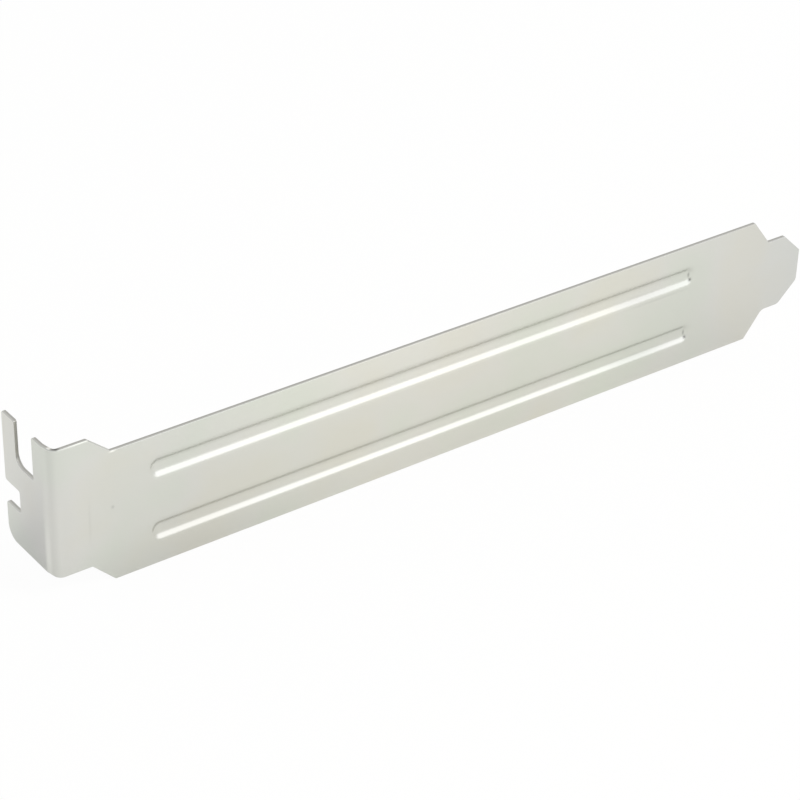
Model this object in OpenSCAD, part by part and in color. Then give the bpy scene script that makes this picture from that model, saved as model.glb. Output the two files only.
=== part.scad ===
// Full-height slot cover: one strip of plated sheet steel, blanked to its outline,
// pressed with two stiffening beads and folded once for the screw tab.
//
// X runs along the strip towards the tongue, Y from the inner face towards the tab's free edge,
// and Z across the strip. The origin is the centre of the screw seat, on the tab's seating face.

/* [Sheet] */
// Thickness of the sheet
sheet_t = 0.5; // [0.4:0.05:0.9]
// Inside radius of the fold between plate and tab
fold_r = 0.8; // [0.4:0.1:1.5]

/* [Plate] */
// Length from the tab's outer face to the tip of the tongue
overall_len = 120.02; // [100:0.01:130]
// Width of the plate between its long edges
plate_w = 18.42; // [17.5:0.01:20]

/* [Neck] */
// Width of the neck, which the tab is folded from
neck_w = 18; // [16.5:0.1:19]
// Height of the neck's lower edge above the plate's lower edge
neck_rise = 3; // [2:0.1:4]
// Length from the tab's outer face to the start of the jogs
neck_len = 5.05; // [3:0.05:7]
// Length of the sloping jogs between neck and plate
jog_len = 3.1; // [2:0.1:5]

/* [Tongue] */
// Length of the sloping shoulders between plate and tongue
shoulder_len = 3; // [2:0.1:5]
// Width of the tongue
tongue_w = 10.8; // [9.5:0.1:12]
// Length of the tongue's parallel part
tongue_len = 3.05; // [2:0.05:6]
// Length of the tongue's tapered tip
tip_len = 3.2; // [2:0.1:5]
// Width across the end of the tip
tip_w = 4.8; // [3:0.1:7]

/* [Screw tab] */
// Depth of the tab from the plate's inner face to the free edge
tab_d = 11.43; // [10.5:0.01:13]
// Width of the screw slot
slot_w = 4.2; // [3.8:0.1:4.6]
// Distance of the slot's centre line from the plate's inner face
slot_y = 6.35; // [6.1:0.05:6.6]
// Depth of the slot below the tab's upper edge
slot_d = 6; // [5:0.1:7]
// Radius of the slot's bottom corner on the free edge's side
slot_far_r = 1.6; // [0.3:0.1:1.8]
// Width of the locating notch in the free edge
notch_w = 3.05; // [2.5:0.05:3.5]
// Depth of the locating notch
notch_d = 3.43; // [2:0.01:4]
// Height of the notch's lower side above the neck's lower edge
notch_rise = 5.2; // [4:0.1:5.4]
// Radius of the tab's lower free corner
heel_r = 2; // [1:0.1:3]

/* [Corners] */
// Radius of the tab's prong and notch mouth corners
prong_r = 0.4; // [0.3:0.1:1]
// Radius of the sharpest corners of the outline
crisp_r = 0.25; // [0.1:0.05:0.5]
// Radius of the tongue's corners along its lower side
soft_r = 1.1; // [0.3:0.1:1.3]

/* [Beads] */
// Distance between the two beads' centre lines
bead_pitch = 9.05; // [7:0.05:11]
// Width of a bead's mouth on the inner face
bead_w = 2.9; // [2.4:0.1:3.6]
// Width of a bead's flat floor
bead_floor_w = 1.26; // [0.8:0.02:1.6]
// Depth of a bead
bead_d = 0.43; // [0.3:0.01:0.6]
// Radius of the press tool's edges
bead_r = 0.3; // [0.2:0.05:0.5]
// Distance from the tab's outer face to the near ends of the beads
bead_near = 13.2; // [10:0.1:30]
// Distance from the far ends of the beads to the tip of the tongue
bead_far = 19.9; // [13:0.1:40]

/* [Hidden] */
$fn = 64;

// Overshoot of every cutter past the sheet
over = 1;
// How far the beads' rounded shoulders start clear of the face that they run out on
run_out = 0.01;

neck_top = neck_rise + neck_w;
jog_end = neck_len + jog_len;
plate_mid = plate_w / 2;
tongue_root = overall_len - tip_len - tongue_len;
shoulder_start = tongue_root - shoulder_len;
taper_start = overall_len - tip_len;
fold_outer_r = fold_r + sheet_t;

slot_near = slot_y - slot_w / 2;
slot_far = slot_y + slot_w / 2;
slot_floor = neck_top - slot_d;
notch_floor = tab_d - notch_d;
notch_low = neck_rise + notch_rise;
notch_high = notch_low + notch_w;
// The screw sits in the slot as far down as a screw of the slot's own width goes
seat_z = slot_floor + slot_w / 2;

bead_slope = atan2(bead_d, (bead_w - bead_floor_w) / 2);
bead_straight = overall_len - bead_near - bead_far - bead_w;
// Mitre that keeps the sheet's thickness on a bead's sloping sides
bead_skirt = sheet_t * tan(bead_slope / 2);

// Plate, neck and tongue as [x, z, corner radius]
strip_outline = [
    [0, neck_rise, 0], [neck_len, neck_rise, crisp_r], [jog_end, 0, crisp_r],
    [shoulder_start, 0, crisp_r], [tongue_root, plate_mid - tongue_w / 2, soft_r],
    [taper_start, plate_mid - tongue_w / 2, soft_r], [overall_len, plate_mid - tip_w / 2, soft_r],
    [overall_len, plate_mid + tip_w / 2, crisp_r], [taper_start, plate_mid + tongue_w / 2, crisp_r],
    [tongue_root, plate_mid + tongue_w / 2, crisp_r], [shoulder_start, plate_w, crisp_r],
    [jog_end, plate_w, crisp_r], [neck_len, neck_top, crisp_r], [0, neck_top, 0]
];

// Tab as [y, z, corner radius], from the fold to its free edge
tab_outline = [
    [0, neck_rise, 0], [tab_d, neck_rise, heel_r], [tab_d, notch_low, prong_r],
    [notch_floor, notch_low, crisp_r], [notch_floor, notch_high, crisp_r], [tab_d, notch_high, prong_r],
    [tab_d, neck_top, prong_r], [slot_far, neck_top, crisp_r], [slot_far, slot_floor, slot_far_r],
    [slot_near, slot_floor, crisp_r], [slot_near, neck_top, prong_r], [0, neck_top, 0]
];

function unit(v) = v / norm(v);
function flat(p) = [p[0], p[1]];

// One corner's wedge between its two sides and the arc that rounds it
module corner_wedge(before, corner, after, r) {
    to_before = unit(before - corner);
    to_after = unit(after - corner);
    half_angle = acos(to_before * to_after) / 2;
    centre = corner + unit(to_before + to_after) * r / sin(half_angle);
    reach = r / tan(half_angle);
    difference() {
        polygon([corner, corner + to_before * reach, corner + to_after * reach]);
        translate(centre) circle(r = r);
    }
}

// An outline drawn anticlockwise, with each corner rounded by its own radius
module rounded_outline(points) {
    last = len(points) - 1;
    function before(i) = flat(points[i == 0 ? last : i - 1]);
    function after(i) = flat(points[i == last ? 0 : i + 1]);
    function turn(i) = cross(flat(points[i]) - before(i), after(i) - flat(points[i]));
    difference() {
        union() {
            polygon([for (p = points) flat(p)]);
            for (i = [0 : last])
                if (points[i][2] > 0 && turn(i) < 0)
                    corner_wedge(before(i), flat(points[i]), after(i), points[i][2]);
        }
        for (i = [0 : last])
            if (points[i][2] > 0 && turn(i) > 0)
                corner_wedge(before(i), flat(points[i]), after(i), points[i][2]);
    }
}

// Section of the folded strip, seen along Z
module fold_section() {
    translate([fold_outer_r, 0]) square([overall_len - fold_outer_r, sheet_t]);
    translate([0, fold_outer_r]) square([sheet_t, tab_d - fold_outer_r]);
    intersection() {
        translate([fold_outer_r, fold_outer_r]) difference() {
            circle(r = fold_outer_r);
            circle(r = fold_r);
        }
        square(fold_outer_r);
    }
}

// Strip and tab, folded and cut to their outlines
module folded_blank() {
    intersection() {
        linear_extrude(height = max(neck_top, plate_w)) fold_section();
        translate([0, tab_d + over, 0]) rotate([90, 0, 0])
            linear_extrude(height = tab_d + 2 * over) rounded_outline(strip_outline);
        union() {
            rotate([90, 0, 90]) linear_extrude(height = fold_outer_r) rounded_outline(tab_outline);
            translate([fold_outer_r, 0, -over])
                cube([overall_len, sheet_t, neck_top + plate_w]);
        }
    }
}

// Section of a pressed form standing on the line y = 0: sloping sides, rounded foot and crown
module pressed_section(foot_w, crown_w, height, foot_r, crown_r) {
    foot = [foot_w / 2, 0];
    crown = [crown_w / 2, height];
    difference() {
        union() {
            polygon([[0, 0], foot, crown, [0, height]]);
            corner_wedge(crown, foot, foot + [foot_r, 0], foot_r);
        }
        corner_wedge([0, height], crown, foot, crown_r);
    }
}

// A pressed form with half-round ends, its foot on z = 0 and its length along x
module pressed_form(length, foot_w, crown_w, height, foot_r, crown_r) {
    for (side = [0, 1])
        mirror([0, side, 0]) rotate([90, 0, 90])
            linear_extrude(height = length)
                pressed_section(foot_w, crown_w, height, foot_r, crown_r);
    for (end = [0, 1])
        translate([end * length, 0, 0]) rotate([0, 0, end ? -90 : 90])
            rotate_extrude(angle = 180) pressed_section(foot_w, crown_w, height, foot_r, crown_r);
}

// Moves a form to each bead's place, with its height along +Y
module at_beads(start_y) {
    for (side = [-1, 1])
        translate([bead_near + bead_w / 2, start_y, plate_mid + side * bead_pitch / 2])
            rotate([-90, 0, 0]) children();
}

module bracket() {
    spread = run_out / tan(bead_slope);
    color([0.82, 0.82, 0.8]) translate([-sheet_t, -slot_y, -seat_z]) difference() {
        union() {
            folded_blank();
            at_beads(sheet_t - run_out)
                pressed_form(bead_straight, bead_w + 2 * (bead_skirt + spread),
                    bead_floor_w + 2 * bead_skirt, bead_d + run_out, bead_r, bead_r + sheet_t);
        }
        at_beads(-run_out)
            pressed_form(bead_straight, bead_w + 2 * spread, bead_floor_w,
                bead_d + run_out, bead_r + sheet_t, bead_r);
    }
}

bracket();
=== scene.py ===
# %% [markdown]
# # A slot cover, made the way the press shop makes it
#
# A slot cover closes an unused expansion slot at the back of a computer. The real one is a single
# strip of zinc-plated steel, half a millimetre thick. A press blanks its outline from a long coil,
# pushes two stiffening beads into it, and folds one end over to make the screw tab.
#
# This lesson follows the same order. It draws a flat blank with real sheared edges, presses the beads
# by moving points, folds the tab by moving points again, and only then gives the sheet its finishes.
# The size comes from the CAD model, which is loaded first as a fixed frame.

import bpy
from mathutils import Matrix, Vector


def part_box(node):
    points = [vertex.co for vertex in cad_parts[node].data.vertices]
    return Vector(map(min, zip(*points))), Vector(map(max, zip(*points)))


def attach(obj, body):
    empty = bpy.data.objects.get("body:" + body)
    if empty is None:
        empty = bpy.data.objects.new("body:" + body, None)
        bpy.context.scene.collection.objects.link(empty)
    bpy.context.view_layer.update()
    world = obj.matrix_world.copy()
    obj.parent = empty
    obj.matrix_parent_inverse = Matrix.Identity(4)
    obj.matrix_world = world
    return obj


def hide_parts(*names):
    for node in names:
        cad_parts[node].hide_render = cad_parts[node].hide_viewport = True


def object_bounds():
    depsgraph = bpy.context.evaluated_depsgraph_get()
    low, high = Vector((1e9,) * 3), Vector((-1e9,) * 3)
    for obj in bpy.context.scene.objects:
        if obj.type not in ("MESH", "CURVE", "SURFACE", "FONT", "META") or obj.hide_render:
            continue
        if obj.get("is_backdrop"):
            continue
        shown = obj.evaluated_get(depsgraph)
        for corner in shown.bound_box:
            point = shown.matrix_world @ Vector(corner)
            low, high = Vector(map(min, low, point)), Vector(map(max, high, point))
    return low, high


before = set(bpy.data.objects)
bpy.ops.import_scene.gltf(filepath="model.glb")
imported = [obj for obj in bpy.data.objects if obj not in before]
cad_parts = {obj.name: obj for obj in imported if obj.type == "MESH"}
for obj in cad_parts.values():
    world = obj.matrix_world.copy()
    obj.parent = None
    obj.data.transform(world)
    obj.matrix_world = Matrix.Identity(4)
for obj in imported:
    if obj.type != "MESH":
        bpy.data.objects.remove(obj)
cad_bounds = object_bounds()
print("pieces in the CAD model:", sorted(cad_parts))

# %% Tools used all the way through
from math import asin, ceil, cos, hypot, pi, radians, sin, tan

import bmesh
import bpy
from mathutils import Matrix, Vector

MM = 0.001

# %% [markdown]
# ## Sizes
#
# The CAD node's box gives the length of the strip, the depth of the tab and the height of the neck's
# upper edge. Everything else that the outline needs is one named size each, in millimetres, the unit
# on a sheet-metal drawing. The drawing's zero is the box's lowest corner: x runs along the strip,
# y goes from the plate's front face to the tab's free edge, and z goes up across the strip. The front
# face is the one that has the beads as grooves.

# %% Overall sizes from the CAD box
low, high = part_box("bracket")
overall_len = (high.x - low.x) / MM
tab_depth = (high.y - low.y) / MM
neck_top = (high.z - low.z) / MM
print(f"strip {overall_len:.2f} long, tab {tab_depth:.2f} deep, neck {neck_top:.2f} high, in mm")

# %% Sizes of the sheet, plate and neck
sheet_t = 0.5
fold_inner_r = 0.8
plate_w = 18.42
neck_rise = 3.0
neck_len = 5.05
jog_len = 3.1
jog_end = neck_len + jog_len
plate_mid = plate_w / 2
print(f"plate {plate_w} wide, neck {neck_len} long, jogs up to {jog_end:.2f} along, in mm")

# %% Sizes of the tongue, measured back from its tip
tongue_w = 10.8
tip_w = 4.8
tip_len = 3.2
tongue_len = 3.05
shoulder_len = 3.0
taper_start = overall_len - tip_len
tongue_root = taper_start - tongue_len
shoulder_start = tongue_root - shoulder_len
print(f"the shoulders start {shoulder_start:.2f} mm along the strip, the tongue {tongue_root:.2f} mm")

# %% Sizes of the screw tab, with depths measured from the plate's front face
slot_w = 4.2
slot_deep = 6.0
slot_depth_in = 6.35
notch_w = 3.05
notch_deep = 3.43
notch_rise = 5.2
slot_floor = neck_top - slot_deep
notch_floor = tab_depth - notch_deep
notch_low = neck_rise + notch_rise
notch_high = notch_low + notch_w
print(f"the slot's floor is {slot_floor:.2f} mm up, the notch {notch_low:.2f} to {notch_high:.2f} mm")

# %% Corner radii of the punch
crisp_r = 0.25
prong_r = 0.4
soft_r = 1.1
slot_far_r = 1.6
heel_r = 2.0
print(f"corner radii from {crisp_r} to {heel_r} mm")

# %% [markdown]
# ## The flat blank
#
# A folded part is always drawn flat first. The middle of the sheet keeps its length when it bends, so
# the fold takes up as much of the strip as its arcs are long, and the tab lies on beyond them. A real
# fold is not one clean arc. The tool turns the sheet tightly round its edge, the sheet stays a little
# slack behind it, and a last short bend marks where the tab was pressed flat. Those few degrees send
# the reflection elsewhere, which draws a pale stripe down the tab's foot, so each stretch is an arc.
#
# The blank's outline is a list of corners, each with the radius of the punch there. A corner is drawn
# as the arc that touches both its sides. Each point also keeps the direction that faces out of the
# blank, which the sheared edge needs in the next step.

# %% Where the tab lies on the flat blank
fold_start = fold_inner_r + sheet_t
slack_r, slack_turn = 15.0, radians(5)
nip_r, nip_turn = 1.5, radians(9)
tight_turn = pi / 2 - slack_turn - nip_turn
slack_along = slack_r * (cos(nip_turn) - sin(tight_turn))
nip_along = nip_r * (1 - cos(nip_turn))
tight_r = (fold_start - sheet_t / 2 - slack_along - nip_along) / sin(tight_turn)
fold_arcs = ((tight_r, tight_turn), (slack_r, slack_turn), (nip_r, nip_turn))
fold_flat = sum(r * turn for r, turn in fold_arcs)
fold_depth = (sheet_t / 2 + tight_r * (1 - cos(tight_turn))
              + slack_r * (cos(tight_turn) - sin(nip_turn)) + nip_r * sin(nip_turn))


def on_blank(depth):
    """Place along the flat blank of a point on the tab, from its depth behind the plate's face."""
    return fold_start - fold_flat - (depth - fold_depth)


print(f"the fold uses {fold_flat:.2f} mm of the strip; the blank is"
      f" {overall_len - on_blank(tab_depth):.2f} mm long")

# %% The blank's corners, anticlockwise: strip, then tab
slot_near = on_blank(slot_depth_in - slot_w / 2)
slot_far = on_blank(slot_depth_in + slot_w / 2)
free_edge = on_blank(tab_depth)
notch_in = on_blank(notch_floor)

strip_corners = [
    (neck_len, neck_rise, crisp_r),
    (jog_end, 0, crisp_r),
    (shoulder_start, 0, crisp_r),
    (tongue_root, plate_mid - tongue_w / 2, soft_r),
    (taper_start, plate_mid - tongue_w / 2, soft_r),
    (overall_len, plate_mid - tip_w / 2, soft_r),
    (overall_len, plate_mid + tip_w / 2, crisp_r),
    (taper_start, plate_mid + tongue_w / 2, crisp_r),
    (tongue_root, plate_mid + tongue_w / 2, crisp_r),
    (shoulder_start, plate_w, crisp_r),
    (jog_end, plate_w, crisp_r),
    (neck_len, neck_top, crisp_r),
]
tab_corners = [
    (slot_near, neck_top, prong_r),
    (slot_near, slot_floor, crisp_r),
    (slot_far, slot_floor, slot_far_r),
    (slot_far, neck_top, crisp_r),
    (free_edge, neck_top, prong_r),
    (free_edge, notch_high, prong_r),
    (notch_in, notch_high, crisp_r),
    (notch_in, notch_low, crisp_r),
    (free_edge, notch_low, prong_r),
    (free_edge, neck_rise, heel_r),
]

# %% Round each corner
ARC_STEP = radians(9)


def rounded(corners):
    """Points of a closed anticlockwise outline, each with the direction facing out of it."""
    points = []
    for k, (x, z, r) in enumerate(corners):
        corner = Vector((x, z))
        before = (Vector(corners[k - 1][:2]) - corner).normalized()
        after = (Vector(corners[(k + 1) % len(corners)][:2]) - corner).normalized()
        half = before.angle(after) / 2
        centre = corner + (before + after).normalized() * r / sin(half)
        first = corner + before * r / tan(half) - centre
        facing_out = 1 if after.cross(before) > 0 else -1
        turn = (pi - 2 * half) * facing_out
        steps = max(2, ceil(abs(turn) / ARC_STEP))
        for step in range(steps + 1):
            arm = Matrix.Rotation(turn * step / steps, 2) @ first
            points.append((centre + arm, arm.normalized() * facing_out))
    return points


outline = rounded(strip_corners + tab_corners)
print(f"{len(strip_corners + tab_corners)} corners make {len(outline)} points")

# %% [markdown]
# ## The sheared edge
#
# A punch doesn't cut sheet steel like a knife. It first drags the surface down, which leaves a small
# round called the roll-over on the side it came from, and it leaves a much smaller one on the other
# side. Between them is the bare cut wall. Those rounds catch the light as a thin line along every
# edge, so they are modelled: each outline point becomes a short column of points through the sheet.
# Every point also stores the direction its surface faces, worked out and not guessed, so that the
# shading stays exact on the flat faces and on the rounds alike.

# %% The section through a sheared edge
rollover_r = 0.08
burr_side_r = 0.04
ROLL_STEPS = 4


def edge_section():
    """(how far in from the outline, depth from the front face, tilt) of each point of the edge."""
    quarter = [pi / 2 * k / ROLL_STEPS for k in range(ROLL_STEPS + 1)]
    front = [(rollover_r * (1 - sin(a)), rollover_r * (1 - cos(a)), a - pi / 2) for a in quarter]
    back = [(burr_side_r * (1 - cos(a)), sheet_t - burr_side_r * (1 - sin(a)), a) for a in quarter]
    return front + back


section = edge_section()
wall_band = ROLL_STEPS
print(f"{len(section)} points through the edge; the cut wall is"
      f" {section[wall_band + 1][1] - section[wall_band][1]:.2f} mm of {sheet_t} mm")

# %% Start the mesh, with what each point has to remember
PLATED, CUT = 0, 1
sheet = bmesh.new()
facing = sheet.verts.layers.float_vector.new("facing")
flat_place = sheet.verts.layers.float_vector.new("flat_place")
cut_depth = sheet.verts.layers.float.new("cut_depth")


def point(x, depth, z, direction):
    """One point of the flat blank. y is the depth below the face that the punch came from."""
    new = sheet.verts.new((x, depth, z))
    new[facing] = direction
    new[flat_place] = (x, depth, z)
    new[cut_depth] = depth / sheet_t
    return new


print("each point remembers:", ", ".join(layer.name for layer in (facing, flat_place, cut_depth)))


# %% Columns of points round the outline
def edge_column(place, outward):
    """The points through the sheared edge at one place on the outline."""
    column = []
    for inset, depth, tilt in section:
        spot = place - outward * inset
        direction = (outward.x * cos(tilt), sin(tilt), outward.y * cos(tilt))
        column.append(point(spot.x, depth, spot.y, direction))
    return column


columns = [edge_column(place, outward) for place, outward in outline]
for k, column in enumerate(columns):
    after = columns[(k + 1) % len(columns)]
    for step in range(len(section) - 1):
        strip = sheet.faces.new((column[step], after[step], after[step + 1], column[step + 1]))
        strip.material_index = CUT if step == wall_band else PLATED
print(f"{len(sheet.faces)} faces round the edge")

# %% [markdown]
# ## The beads
#
# The two long beads are grooves on this side and ridges on the other, pressed in by a rounded tool so
# that the thin strip can't bend. On the middle of the sheet a bead's section is a flat floor, an arc,
# a straight slope, another arc, and then the plate. It depends on one thing only: how far a point lies
# from the line down the bead's middle. So the mesh gets rings at the distances where the section
# bends, drawn round that line like the lanes of a running track, and the press then moves each ring.
# The sheet doesn't fill the bottom of the tool, so the bend at the floor is wider than the one at the
# mouth. The bright side of the bead fades out over it instead of ending at a line.

# %% Sizes of the beads
bead_pitch = 9.05
bead_w = 2.9
bead_floor_w = 1.26
bead_depth = 0.43
floor_bend_r = 1.7
mouth_bend_r = 1.25
bead_near = 13.2
bead_far = 19.9

bead_starts = bead_near + bead_w / 2
bead_ends = overall_len - bead_far - bead_w / 2
bead_heights = [plate_mid + side * bead_pitch / 2 for side in (-1, 1)]
print(f"beads at {bead_heights[0]:.2f} and {bead_heights[1]:.2f} mm, {bead_ends - bead_starts:.1f} mm"
      " long between their round ends")

# %% The bead's section on the middle of the sheet
slope = asin(bead_depth / hypot(bead_depth, (bead_w - bead_floor_w) / 2))
mitre = sheet_t / 2 * tan(slope / 2)
foot = bead_w / 2 + mitre
crown = bead_floor_w / 2 + mitre
floor_bend = floor_bend_r * tan(slope / 2)
mouth_bend = mouth_bend_r * tan(slope / 2)
floor_edge = crown - floor_bend
plate_edge = foot + mouth_bend


def bead_section(distance):
    """(how far the sheet is pushed back, its slope) at a distance from the bead's middle line."""
    if distance <= floor_edge:
        return bead_depth, 0
    if distance < crown + floor_bend * cos(slope):
        angle = asin((distance - floor_edge) / floor_bend_r)
        return bead_depth - floor_bend_r * (1 - cos(angle)), angle
    if distance <= foot - mouth_bend * cos(slope):
        return (foot - distance) * tan(slope), slope
    if distance < plate_edge:
        angle = asin((plate_edge - distance) / mouth_bend_r)
        return mouth_bend_r * (1 - cos(angle)), angle
    return 0, 0


print(f"sides slope {slope * 180 / pi:.1f} degrees; the bends start {floor_edge:.2f} and"
      f" {foot - mouth_bend * cos(slope):.2f} mm from the middle")

# %% The distances of the rings
BEND_STEPS = 7


def ring_distances():
    """Distances at which the section changes slope: both bends, a step of slope at a time."""
    angles = [slope * k / BEND_STEPS for k in range(BEND_STEPS + 1)]
    inner = [floor_edge + floor_bend_r * sin(a) for a in angles]
    outer = [plate_edge - mouth_bend_r * sin(a) for a in reversed(angles)]
    return inner + outer


print(f"{len(ring_distances())} rings to each bead on each face")

# %% Draw the rings on both faces of the sheet
END_STEPS = 20


def ring(distance, middle, depth, direction):
    """Points round a bead at one distance from its middle line, half a circle at each end."""
    made = []
    for centre, turn in ((bead_ends, -pi / 2), (bead_starts, pi / 2)):
        for step in range(END_STEPS + 1):
            angle = turn + pi * step / END_STEPS
            x = centre + distance * cos(angle)
            z = middle + distance * sin(angle)
            made.append(point(x, depth, z, direction))
    return made


def lanes(middle, depth, direction):
    """All rings of one bead on one face, with the faces between them; gives back the outermost ring."""
    rings = [ring(d, middle, depth, direction) for d in ring_distances()]
    sheet.faces.new(rings[0])
    for inner, outer in zip(rings, rings[1:]):
        for k, corner in enumerate(inner):
            following = (k + 1) % len(inner)
            sheet.faces.new((corner, outer[k], outer[following], inner[following]))
    return rings[-1]


def loop_edges(loop):
    """The edges between neighbours in a closed loop of points, made where they are missing."""
    pairs = zip(loop, loop[1:] + loop[:1])
    return [sheet.edges.get(pair) or sheet.edges.new(pair) for pair in pairs]


# %% Close both faces of the sheet round the beads
for depth, direction, end in ((0, (0, -1, 0), 0), (sheet_t, (0, 1, 0), -1)):
    border = loop_edges([column[end] for column in columns])
    for middle in bead_heights:
        border += loop_edges(lanes(middle, depth, direction))
    bmesh.ops.triangle_fill(sheet, edges=border, use_beauty=True, normal=direction)
bmesh.ops.recalc_face_normals(sheet, faces=sheet.faces)
print(f"the flat blank has {len(sheet.faces)} faces,"
      f" closed: {all(edge.is_manifold for edge in sheet.edges)}")

# %% [markdown]
# ## Fold lines
#
# A flat face can only bend where it has points. Cuts across the strip let the fold turn smoothly,
# and a cut every few millimetres along the plate keeps the triangles from growing too long. A point
# that lies within a ten-thousandth of a millimetre of a cut counts as being on it.

# %% Cut the blank across
FOLD_CUTS = (14, 4, 5)
PLATE_CUT = 6.0
SAME_PLACE = 1e-4
fold_lines = [fold_start]
for (r, turn), cuts in zip(fold_arcs, FOLD_CUTS):
    fold_lines += [fold_lines[-1] - r * turn * k / cuts for k in range(1, cuts + 1)]
plate_lines = [fold_start + PLATE_CUT * k for k in range(1, ceil(overall_len / PLATE_CUT))]

for place in fold_lines + plate_lines:
    everything = sheet.verts[:] + sheet.edges[:] + sheet.faces[:]
    bmesh.ops.bisect_plane(sheet, geom=everything, dist=SAME_PLACE,
                           plane_co=(place, 0, 0), plane_no=(1, 0, 0))
print(f"{len(sheet.faces)} faces after the cuts")

# %% [markdown]
# ## Press and fold
#
# Both steps are rules that say where a point of the flat sheet goes. The press tilts the sheet about
# its middle layer, so the two faces stay half a thickness away from it and the sheet keeps its gauge
# on the slopes. The fold winds the sheet along its arcs and carries what lies beyond straight on.
# The direction that each point faces is turned by the same angle as the sheet under it.


# %% Press
def press(place, direction):
    """Where a point of the flat sheet lies after the beads are pressed, and where it faces."""
    middle = min(bead_heights, key=lambda height: abs(height - place.z))
    centre = Vector((min(max(place.x, bead_starts), bead_ends), 0, middle))
    away = Vector((place.x, 0, place.z)) - centre
    distance = away.length
    pushed, tilt = bead_section(distance)
    if pushed == 0:
        return place, direction
    off_middle = place.y - sheet_t / 2
    sideways = away.normalized() if tilt else Vector((1, 0, 0))
    spot = centre + away + sideways * off_middle * sin(tilt)
    spot.y = sheet_t / 2 + pushed + off_middle * cos(tilt)
    turned = sideways * direction.y * sin(tilt)
    turned.y = direction.y * cos(tilt)
    return spot, turned


pressed, _ = press(Vector((bead_starts, 0, bead_heights[0])), Vector((0, -1, 0)))
print(f"the floor of a bead is pushed back {pressed.y:.2f} mm")


# %% Fold
def fold(place, direction):
    """Where a point lies after the tab is folded back by a right angle, and where it faces."""
    past = fold_start - place.x
    if past <= 0:
        return place, direction
    angle = 0
    middle = Vector((fold_start, sheet_t / 2, place.z))
    for r, turn in fold_arcs:
        step = min(past / r, turn)
        middle += r * Vector((sin(angle) - sin(angle + step), cos(angle) - cos(angle + step), 0))
        angle += step
        past -= r * step
    along = Vector((cos(angle), -sin(angle), 0))
    inwards = Vector((sin(angle), cos(angle), 0))
    spot = middle - along * past + inwards * (place.y - sheet_t / 2)
    turned = along * direction.x + inwards * direction.y
    turned.z = direction.z
    return spot, turned


folded, _ = fold(Vector((free_edge, 0, 0)), Vector((0, -1, 0)))
print(f"the free edge of the tab ends {folded.y:.2f} mm behind the front face")

# %% Form the sheet and put it in the frame
for vertex in sheet.verts:
    spot, turned = fold(*press(vertex.co.copy(), vertex[facing].normalized()))
    vertex.co = low + spot * MM
    vertex[facing] = turned.normalized()

cover_mesh = bpy.data.meshes.new("cover_sheet")
sheet.to_mesh(cover_mesh)
sheet.free()
cover_mesh.shade_smooth()
directions = [item.vector.copy() for item in cover_mesh.attributes["facing"].data]
cover_mesh.normals_split_custom_set_from_vertices(directions)
cover_mesh.attributes.remove(cover_mesh.attributes["facing"])

cover = bpy.data.objects.new("cover_sheet", cover_mesh)
bpy.context.collection.objects.link(cover)
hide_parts("bracket")
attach(cover, "root")
print(f"cover_sheet: {len(cover_mesh.vertices)} points, {len(cover_mesh.polygons)} faces")

# %% [markdown]
# ## Helpers for the finishes
#
# Colours are written as the hex values that a paint program shows and are turned to linear light by
# one function. One more function adds a node with its settings and links. Every pattern below reads
# `flat_place`, the point's place on the flat blank in millimetres, so a pattern's scale is a real
# size, and the grain runs on round the fold as it does on the real strip.
#
# Blender's Mix node has a set of sockets for each type of data, and they share their names. So its
# colour sockets are found by their number.

# %% Colour and node helpers
MIX_COLOUR_A, MIX_COLOUR_B, MIX_COLOUR_RESULT = 6, 7, 2


def linear(hex_colour):
    """A linear RGBA colour from an sRGB hex string."""
    parts = [int(hex_colour[k:k + 2], 16) / 255 for k in (1, 3, 5)]
    return [c / 12.92 if c <= 0.04045 else ((c + 0.055) / 1.055) ** 2.4 for c in parts] + [1.0]


def add(tree, kind, inputs=None, **settings):
    """Adds a node. Each input is given a value, or another node's output to link from."""
    new = tree.nodes.new(kind)
    for name, value in settings.items():
        setattr(new, name, value)
    for name, value in (inputs or {}).items():
        if isinstance(value, bpy.types.NodeSocket):
            tree.links.new(value, new.inputs[name])
        else:
            new.inputs[name].default_value = value
    return new


def new_material(name):
    """An empty material with its node tree, ready for a shader."""
    material = bpy.data.materials.new(name)
    material.use_nodes = True
    material.node_tree.nodes.clear()
    return material, material.node_tree


print(f"the middle grey #808080 is {linear('#808080')[0]:.3f} of white in linear light")

# %% [markdown]
# ## Zinc plate with a clear passivate
#
# The strip comes from the mill rolled bright, is plated with a few microns of zinc and then dipped in
# a clear passivate. The zinc gives a pale, slightly warm satin grey. The passivate is a film about as
# thin as a wave of light, so it tints the surface in faint clouds of green and straw.
# Rolling leaves a grain of very fine lines along the coil. It is about 0.05 mm wide, too fine to show,
# so it is drawn at 0.25 mm and kept weak.
#
# Zinc is soft, so the tools leave their traces in it. The folding tool draws a faint line beside the
# fold, and there is a speck on the plate. The other marks are painted light and shade. The zinc's tone
# is painted palest in the middle of the strip and darker towards the ends and the lower edge. Painted
# highlights run down the tab's foot and along the neck's upper edge, a painted glint sits where the
# plate begins, and painted shade runs down the fold's round. The beads get painted sheen on their
# floors, painted shade on their sloping sides, over their upper edges and under the upper bead's bright
# band, and painted shade at their right ends.
# Each mark is a soft oval with a place and a reach in millimetres, and a share of light that it takes
# away. A share below zero makes the zinc brighter. How deep in the sheet a point lies doesn't count,
# so a mark shows on both faces.

# %% Zinc plate: where the clouds and the grain lie
zinc, tree = new_material("zinc_plate_clear_passivated")
CLOUD_MM = 13.0
GRAIN_WIDE_MM = 0.25
GRAIN_LONG_MM = 9.0

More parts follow.
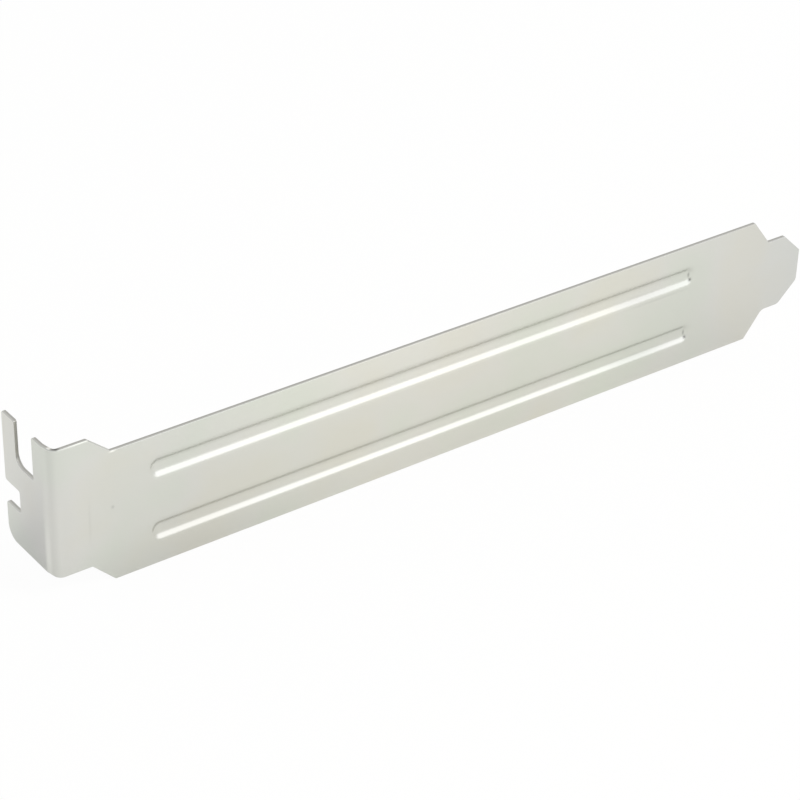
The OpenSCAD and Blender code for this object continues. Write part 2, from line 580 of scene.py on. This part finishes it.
spot_on_blank = add(tree, "ShaderNodeAttribute", attribute_name="flat_place").outputs["Vector"]
clouds = add(tree, "ShaderNodeTexNoise",
             {"Vector": spot_on_blank, "Scale": 1 / CLOUD_MM, "Detail": 2.0, "Roughness": 0.45})
along_grain = add(tree, "ShaderNodeVectorMath",
                  {0: spot_on_blank, 1: (1 / GRAIN_LONG_MM, 0, 1 / GRAIN_WIDE_MM)},
                  operation="MULTIPLY")
grain = add(tree, "ShaderNodeTexNoise",
            {"Vector": along_grain.outputs["Vector"], "Scale": 1.0, "Detail": 3.0})
print(f"clouds of {CLOUD_MM:.0f} mm, grain of {GRAIN_WIDE_MM} by {GRAIN_LONG_MM} mm")


# %% Zinc plate: colour along the strip, with painted shade, and its clouds
def set_stops(ramp, stops):
    """Gives a colour ramp its stops, each a place between 0 and 1 and a hex colour."""
    elements = ramp.color_ramp.elements
    while len(elements) < len(stops):
        elements.new(0.5)
    for element, (position, hex_colour) in zip(elements, stops):
        element.position = position
        element.color = linear(hex_colour)


BLANK_FROM, BLANK_TO = -12.0, 121.0
# The stops give the zinc's tint, and their brightness is painted shade: palest in the middle of the
# strip, darker towards the tongue and on the tab near the fold.
STRIP_TINT_AND_SHADE = [(-12, "#DDDDDB"), (-4, "#D9D9D7"), (-1, "#DADAD8"), (3, "#DFDFDD"), (10, "#DDDEDA"),
                 (18, "#DDDDDA"), (34, "#DFDFDA"), (52, "#E1E0DB"), (66, "#DFDED9"), (84, "#DEDED9"),
                 (98, "#D9D9D6"), (108, "#D7D7D5"), (120, "#D1D2D2")]
FILM_COLOURS = [(0.36, "#FCFFFC"), (0.5, "#FFFFFF"), (0.64, "#FFFEFB")]

along_blank = add(tree, "ShaderNodeSeparateXYZ", {"Vector": spot_on_blank}).outputs["X"]
share_along = add(tree, "ShaderNodeMapRange",
                  {"Value": along_blank, "From Min": BLANK_FROM, "From Max": BLANK_TO})
strip_tint_and_shade = add(tree, "ShaderNodeValToRGB", {"Fac": share_along.outputs["Result"]})
set_stops(strip_tint_and_shade,
          [((x - BLANK_FROM) / (BLANK_TO - BLANK_FROM), shown) for x, shown in STRIP_TINT_AND_SHADE])
film_colour = add(tree, "ShaderNodeValToRGB", {"Fac": clouds.outputs["Fac"]})
set_stops(film_colour, FILM_COLOURS)
clouded = add(tree, "ShaderNodeVectorMath",
              {0: strip_tint_and_shade.outputs["Color"], 1: film_colour.outputs["Color"]},
              operation="MULTIPLY")
print(f"{len(STRIP_TINT_AND_SHADE)} colours along {BLANK_TO - BLANK_FROM:.0f} mm of strip")


# %% Soft oval marks
def mark(tree, place, centre, reach, shade):
    """The share of light that one mark takes away. Its centre and reach are (along, across) in mm."""
    offset = add(tree, "ShaderNodeVectorMath", {0: place, 1: (centre[0], 0, centre[1])},
                 operation="SUBTRACT")
    scaled = add(tree, "ShaderNodeVectorMath",
                 {0: offset.outputs["Vector"], 1: (1 / reach[0], 0, 1 / reach[1])},
                 operation="MULTIPLY")
    away = add(tree, "ShaderNodeVectorMath", {0: scaled.outputs["Vector"]}, operation="LENGTH")
    darker = add(tree, "ShaderNodeMapRange",
                 {"Value": away.outputs["Value"], "To Min": shade, "To Max": 0.0},
                 interpolation_type="SMOOTHSTEP")
    return darker.outputs["Result"]


def shaded_by(tree, marks, place, colour, light):
    """A colour made darker or lighter by marks, starting from a given share of its light."""
    for centre, reach, shade in marks.values():
        light = add(tree, "ShaderNodeMath", {0: light, 1: mark(tree, place, centre, reach, shade)},
                    operation="SUBTRACT").outputs[0]
    return add(tree, "ShaderNodeVectorMath", {0: colour, "Scale": light}, operation="SCALE")


# %% Zinc plate: painted light and shade and real marks, each (centre, reach, share of light taken away)
WHOLE_WIDTH = 1000
ZINC_MARKS_AND_PAINTED_LIGHT = {
    # Painted shade down the fold's round.
    "painted shade down the fold's round": ((0.3, plate_mid), (0.85, WHOLE_WIDTH), 0.07),
    # Painted highlight down the tab's foot, where the fold meets it.
    "painted highlight down the tab's foot": ((-0.65, 5), (0.8, 8), -0.13),
    "line left by the folding tool's edge": ((4.9, 9.5), (0.3, 5), 0.045),
    # Painted highlight along the neck's upper edge.
    "painted highlight along the neck's upper edge": ((4, neck_top - 0.1), (4, 0.2), -0.35),
    # Painted glint where the plate begins.
    "painted glint where the plate begins": ((jog_end + 0.2, plate_w - 0.1), (0.7, 0.24), -0.4),
    "speck": ((8.1, 10.5), (0.4, 0.4), 0.16),
    # Painted shade, darker towards the plate's lower edge.
    "painted shade along the lower edge": ((16, 0), (32, 7), 0.08),
    # Painted light, paler towards the plate's upper edge.
    "painted light along the upper edge": ((42, 19), (48, 9), -0.05),
    # Painted shade under the upper bead's bright band.
    "painted shade under the upper bead's bright band": ((bead_ends - 5, bead_heights[1] - 1.85), (9, 0.35), 0.09),
}

# %% Zinc plate: painted sheen and shade on both beads
bead_middle = (bead_starts + bead_ends) / 2
for bead, height in zip(("lower", "upper"), bead_heights):
    # Painted sheen on the floor, painted shade over the bead, and painted shade at its right end.
    ZINC_MARKS_AND_PAINTED_LIGHT[f"polished floor of the {bead} bead"] = ((bead_middle, height - 0.1), (48, 0.65), -0.045)
    ZINC_MARKS_AND_PAINTED_LIGHT[f"rubbed edge over the {bead} bead"] = ((bead_middle, height + 1.1), (60, 1), 0.05)
    ZINC_MARKS_AND_PAINTED_LIGHT[f"worn end of the {bead} bead"] = ((bead_ends + 0.65, height), (0.3, 0.7), 0.4)
    ZINC_MARKS_AND_PAINTED_LIGHT[f"dull end of the {bead} bead's side"] = ((bead_ends - 8, height - 1), (9, 0.8), 0.1)
print("marks and painted light on the zinc:", ", ".join(ZINC_MARKS_AND_PAINTED_LIGHT))

# %% Zinc plate: painted shade on surfaces that lean up or down, such as the beads' sides
# Painted shade: the more a surface leans up or down, the darker its colour is painted.
SLOPE_SHADE_FROM, SLOPE_SHADE_FULL = 0.1, 0.4
SLOPE_SHADE_LIGHT = 0.91
direction_faced = add(tree, "ShaderNodeNewGeometry").outputs["Normal"]
up_or_down = add(tree, "ShaderNodeSeparateXYZ", {"Vector": direction_faced}).outputs["Z"]
leaning = add(tree, "ShaderNodeMath", {0: up_or_down}, operation="ABSOLUTE")
rubbed = add(tree, "ShaderNodeMapRange",
             {"Value": leaning.outputs[0], "From Min": SLOPE_SHADE_FROM, "From Max": SLOPE_SHADE_FULL,
              "To Min": 1.0, "To Max": SLOPE_SHADE_LIGHT})
zinc_colour_and_painted_light = shaded_by(tree, ZINC_MARKS_AND_PAINTED_LIGHT, spot_on_blank, clouded.outputs["Vector"],
                        rubbed.outputs["Result"])
print(f"the sloping sides, painted darker, keep {SLOPE_SHADE_LIGHT:.0%} of their light")

# %% Zinc plate: gloss and relief, which follow the grain
GRAIN_LOW, GRAIN_HIGH = 0.3, 0.7
SATIN_ROUGHNESS = (0.235, 0.255)
GRAIN_DEEP_MM = 0.005
satin = add(tree, "ShaderNodeMapRange",
            {"Value": grain.outputs["Fac"], "From Min": GRAIN_LOW, "From Max": GRAIN_HIGH,
             "To Min": SATIN_ROUGHNESS[0], "To Max": SATIN_ROUGHNESS[1]})
relief = add(tree, "ShaderNodeBump",
             {"Height": grain.outputs["Fac"], "Strength": 0.02, "Distance": GRAIN_DEEP_MM * MM})
plate_shader = add(tree, "ShaderNodeBsdfPrincipled",
                   {"Base Color": zinc_colour_and_painted_light.outputs["Vector"], "Metallic": 1.0,
                    "Roughness": satin.outputs["Result"], "Normal": relief.outputs["Normal"]})
add(tree, "ShaderNodeOutputMaterial", {"Surface": plate_shader.outputs["BSDF"]})
print(f"{zinc.name}: {len(tree.nodes)} nodes, roughness {SATIN_ROUGHNESS}")

# %% [markdown]
# ## The bare cut wall
#
# The plating was on the coil before the blank was punched, so the cut wall is bare steel. The punch
# burnishes the first third of the cut and the rest tears. So a smooth, brighter band lies next to the
# front face, and a dull, grainy one behind it. Bare mild steel is darker than zinc, which is why the
# edges show as dark lines. At the top of the fold the wall gets painted shade, with a painted glint
# beside it.

# %% Sheared steel: where the cut is smooth and where it is torn
bare_steel, tree = new_material("sheared_mild_steel")
TORN_FROM, TORN_FULL = 0.35, 0.5
depth_in_cut = add(tree, "ShaderNodeAttribute", attribute_name="cut_depth").outputs["Fac"]
torn = add(tree, "ShaderNodeMapRange",
           {"Value": depth_in_cut, "From Min": TORN_FROM, "From Max": TORN_FULL})
print(f"the cut is smooth down to {TORN_FROM:.0%} of the gauge and torn from {TORN_FULL:.0%}")

# %% Sheared steel: colour
SMOOTH_STEEL, TORN_STEEL = "#CDCCC6", "#C0BFB9"
# Painted shade at the top of the fold on the cut wall, and a painted glint beside it.
CUT_PAINTED_LIGHT = {
    "painted shade on the wall at the fold": ((1.0, neck_top), (0.8, 1), 0.6),
    "painted glint beside it": ((0.1, neck_top), (0.45, 1), -0.9),
}
spot_in_cut = add(tree, "ShaderNodeAttribute", attribute_name="flat_place").outputs["Vector"]
cut_colour = add(tree, "ShaderNodeMix",
                 {"Factor": torn.outputs["Result"], MIX_COLOUR_A: linear(SMOOTH_STEEL),
                  MIX_COLOUR_B: linear(TORN_STEEL)},
                 data_type="RGBA")
cut_colour_and_painted_light = shaded_by(tree, CUT_PAINTED_LIGHT, spot_in_cut, cut_colour.outputs[MIX_COLOUR_RESULT], 1.0)
print("painted light on the cut wall:", ", ".join(CUT_PAINTED_LIGHT))

# %% Sheared steel: gloss and torn grain
TEAR_MM = 0.06
TEAR_DEEP_MM = 0.02
SMOOTH_ROUGHNESS, TORN_ROUGHNESS = 0.3, 0.5
tears = add(tree, "ShaderNodeTexNoise",
            {"Vector": spot_in_cut, "Scale": 1 / TEAR_MM, "Detail": 2.0})
cut_gloss = add(tree, "ShaderNodeMapRange",
                {"Value": torn.outputs["Result"], "To Min": SMOOTH_ROUGHNESS,
                 "To Max": TORN_ROUGHNESS})
cut_relief = add(tree, "ShaderNodeBump",
                 {"Height": tears.outputs["Fac"], "Strength": 0.3, "Distance": TEAR_DEEP_MM * MM})
cut_shader = add(tree, "ShaderNodeBsdfPrincipled",
                 {"Base Color": cut_colour_and_painted_light.outputs["Vector"], "Metallic": 1.0,
                  "Roughness": cut_gloss.outputs["Result"], "Normal": cut_relief.outputs["Normal"]})
add(tree, "ShaderNodeOutputMaterial", {"Surface": cut_shader.outputs["BSDF"]})
print(f"{bare_steel.name}: {len(tree.nodes)} nodes, torn grain of {TEAR_MM} mm")

# %% Put the finishes on the sheet, in the order of PLATED and CUT
cover_mesh.materials.append(zinc)
cover_mesh.materials.append(bare_steel)
print("finishes:", [material.name for material in cover_mesh.materials])

# %% [markdown]
# ## Table and light tent
#
# Bright metal has no colour of its own to show: it shows the room. Small metal parts are therefore
# shown on white paper inside a white tent. The floor is that paper, at the cover's lowest edge.
# The camera sees it as nearly plain white. The metal sees its real shading, a little lightened, and
# that shading is what the large faces show: the plate mirrors the paper in front of it, and the
# tab's outer face mirrors the cover's own shadow.
#
# The tent is the world. Only the slopes and rounds of the sheet are turned towards it, so two soft
# patches on the tent are enough to draw the beads. A bright one stands for the window side and makes
# the white bands. A dark one low in front stands for the tent's opening, and shows as a dark spot
# at the right end of each bead.

# %% White paper
white_paper, tree = new_material("white_paper")
PAPER = "#F7F7F5"
WHITE = 1.0
WHITE_FOR_CAMERA = 0.95
WHITE_FOR_METAL = 0.1
floor_rays = add(tree, "ShaderNodeLightPath")
shaded = add(tree, "ShaderNodeBsdfDiffuse", {"Color": linear(PAPER)})
plain_white = add(tree, "ShaderNodeEmission", {"Color": linear("#FFFFFF"), "Strength": WHITE})
for_camera = add(tree, "ShaderNodeMath",
                 {0: floor_rays.outputs["Is Camera Ray"], 1: WHITE_FOR_CAMERA},
                 operation="MULTIPLY")
for_metal = add(tree, "ShaderNodeMath",
                {0: floor_rays.outputs["Is Glossy Ray"], 1: WHITE_FOR_METAL},
                operation="MULTIPLY")
share = add(tree, "ShaderNodeMath", {0: for_camera.outputs[0], 1: for_metal.outputs[0]},
            operation="MAXIMUM")
seen = add(tree, "ShaderNodeMixShader",
           {"Fac": share.outputs[0], 1: shaded.outputs["BSDF"], 2: plain_white.outputs["Emission"]})
add(tree, "ShaderNodeOutputMaterial", {"Surface": seen.outputs["Shader"]})
print(f"the paper is {WHITE_FOR_CAMERA:.0%} plain white to the camera, {WHITE_FOR_METAL:.0%} to metal")

# %% Floor
FLOOR_HALF = 1.5
floor_mesh = bpy.data.meshes.new("floor")
floor_corners = [(-FLOOR_HALF, -FLOOR_HALF), (FLOOR_HALF, -FLOOR_HALF),
                 (FLOOR_HALF, FLOOR_HALF), (-FLOOR_HALF, FLOOR_HALF)]
floor_mesh.from_pydata([(x, y, low.z) for x, y in floor_corners], [], [(0, 1, 2, 3)])
floor_mesh.materials.append(white_paper)
floor = bpy.data.objects.new("floor", floor_mesh)
bpy.context.collection.objects.link(floor)
floor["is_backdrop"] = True
print(f"the floor is {2 * FLOOR_HALF:.0f} m square, at the height of the cover's lowest edge")


# %% World: where the tent's bright and dark parts are
def towards(azimuth, elevation):
    """A direction out from the cover. Azimuth 0 is in front of the plate, and 90 is to the right."""
    a, e = radians(azimuth), radians(elevation)
    return Vector((sin(a) * cos(e), -cos(a) * cos(e), sin(e)))


world = bpy.data.worlds.new("light_tent")
bpy.context.scene.world = world
world.use_nodes = True
tree = world.node_tree
tree.nodes.clear()
outwards = add(tree, "ShaderNodeTexCoord").outputs["Generated"]


def soft_patch(tree, centre, inner, outer, adds):
    """Light that a round patch of the tent adds: all of it inside one angle, none past another."""
    nearness = add(tree, "ShaderNodeVectorMath", {0: outwards, 1: centre}, operation="DOT_PRODUCT")
    patch = add(tree, "ShaderNodeMapRange",
                {"Value": nearness.outputs["Value"], "From Min": cos(radians(outer)),
                 "From Max": cos(radians(inner)), "To Min": 0.0, "To Max": adds},
                interpolation_type="SMOOTHSTEP")
    return patch.outputs["Result"]


# %% World: the tent, as the camera, the metal and everything else see it
TENT_LIGHT = 0.94
window = soft_patch(tree, towards(29, 13), inner=13, outer=30, adds=1.05)
opening = soft_patch(tree, towards(-12, 4), inner=12, outer=24, adds=-0.85)
patches = add(tree, "ShaderNodeMath", {0: window, 1: opening}, operation="ADD")
in_metal = add(tree, "ShaderNodeMath", {0: patches.outputs[0], 1: WHITE}, operation="ADD")
tent_rays = add(tree, "ShaderNodeLightPath")
off_camera = add(tree, "ShaderNodeMix",
                 {"Factor": tent_rays.outputs["Is Glossy Ray"], "A": TENT_LIGHT,
                  "B": in_metal.outputs[0]})
strength = add(tree, "ShaderNodeMix",
               {"Factor": tent_rays.outputs["Is Camera Ray"], "A": off_camera.outputs["Result"],
                "B": WHITE})
tent = add(tree, "ShaderNodeBackground", {"Strength": strength.outputs["Result"]})
add(tree, "ShaderNodeOutputWorld", {"Surface": tent.outputs["Background"]})
print(f"tent: {WHITE} for the camera, {TENT_LIGHT} as light, a window and an opening for the metal")

# %% [markdown]
# ## The lamp
#
# One soft box stands in front of the plate to the right and throws the cover's shadow back and to the
# left, where the tab's face mirrors it. It is slightly warmer than the tent. It is hidden from the
# metal's own reflections, which would show it as a hard square and throw bright patches on the floor.

# %% Lamp
LAMP_AWAY = 0.7
LAMP_SIZE = 0.24
LAMP_WATTS = 2.0
LAMP_AZIMUTH = 34
LAMP_ELEVATION = 44
lamp_data = bpy.data.lights.new("key_softbox", "AREA")
lamp_data.size = LAMP_SIZE
lamp_data.energy = LAMP_WATTS
lamp_data.color = linear("#FFFEF2")[:3]
lamp = bpy.data.objects.new("key_softbox", lamp_data)
bpy.context.collection.objects.link(lamp)
from_cover = towards(LAMP_AZIMUTH, LAMP_ELEVATION)
lamp.location = (low + high) / 2 + from_cover * LAMP_AWAY
lamp.rotation_euler = from_cover.to_track_quat("Z", "Y").to_euler()
lamp.visible_glossy = False
print(f"soft box {LAMP_SIZE / MM:.0f} mm square, {LAMP_AWAY / MM:.0f} mm from the cover")

# %% [markdown]
# ## Camera
#
# The camera looks down on the plate from the front left with a long lens, which keeps the strip's
# long edges nearly parallel. It aims at a point on the plate's face.

# %% Camera
AIM_ALONG = 50.35
AIM_UP = 10.80
AZIMUTH = -36.94
ELEVATION = 31.81
ROLL = 1.57
DISTANCE = 325.5
LENS = 115.15
SENSOR_WIDTH = 36

aim = low + Vector((AIM_ALONG, 0, AIM_UP)) * MM
looking = -towards(AZIMUTH, ELEVATION)
camera_data = bpy.data.cameras.new("camera")
camera_data.lens = LENS
camera_data.sensor_width = SENSOR_WIDTH
camera = bpy.data.objects.new("camera", camera_data)
bpy.context.collection.objects.link(camera)
upright = looking.to_track_quat("-Z", "Y").to_matrix()
camera.matrix_world = Matrix.LocRotScale(
    aim - looking * DISTANCE * MM, upright @ Matrix.Rotation(radians(ROLL), 3, "Z"), None)
bpy.context.scene.camera = camera
bpy.context.scene.view_settings.view_transform = "Standard"
print(f"camera {DISTANCE:.0f} mm from the plate, {ELEVATION:.0f} degrees above it")

# %% Sizes of the CAD model and of the sheet
visual_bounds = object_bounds()
sizes = {"cad": [list(corner) for corner in cad_bounds],
         "visual": [list(corner) for corner in visual_bounds]}
for name, (lowest, highest) in sizes.items():
    print(name, [round((b - a) / MM, 2) for a, b in zip(lowest, highest)], "mm")
